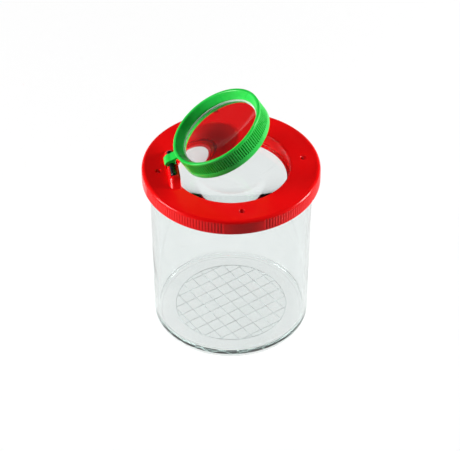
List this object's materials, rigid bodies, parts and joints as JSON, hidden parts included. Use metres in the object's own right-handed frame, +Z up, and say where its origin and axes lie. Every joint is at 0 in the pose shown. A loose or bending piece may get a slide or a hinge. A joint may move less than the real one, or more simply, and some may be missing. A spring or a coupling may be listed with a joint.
{
  "type": "bug catcher jar",
  "caption": "Clear round viewing jar with a grid in its floor, a push-on ribbed lid with air holes and a fixed lens, and a magnifier in a ring that swings up on a hinge pin.",
  "frame": {"origin": "centre of the foot ring, on the surface that the jar stands on", "axes": "+Z up along the jar's axis, the hinge of the magnifier at -X with its pin along Y"},
  "size_m": [0.068, 0.068, 0.1],
  "materials": {
    "clear_plastic": "clear polystyrene, polished",
    "red_plastic": "moulded, glossy with a fine grain",
    "lens_plastic": "clear acrylic lens, polished",
    "black_pin": "blackened steel wire",
    "green_plastic": "moulded, glossy"
  },
  "bodies": {
    "jar": {"clear_cup": "clear_plastic"},
    "lid": {"lid": "red_plastic", "lid_lens": "lens_plastic", "hinge_pin": "black_pin"},
    "magnifier": {"magnifier_ring": "green_plastic", "magnifier_lens": "lens_plastic"}
  },
  "joints": [
    {"name": "lid_lift", "type": "slide", "parent": "jar", "child": "lid", "axis": [0, 0, 1], "range_m": [0, 0.04]},
    {"name": "magnifier_swing", "type": "hinge", "parent": "lid", "child": "magnifier", "pos_m": [-0.0227, 0, 0.0747], "axis": [0, -1, 0], "range_deg": [-30, 95]}
  ]
}
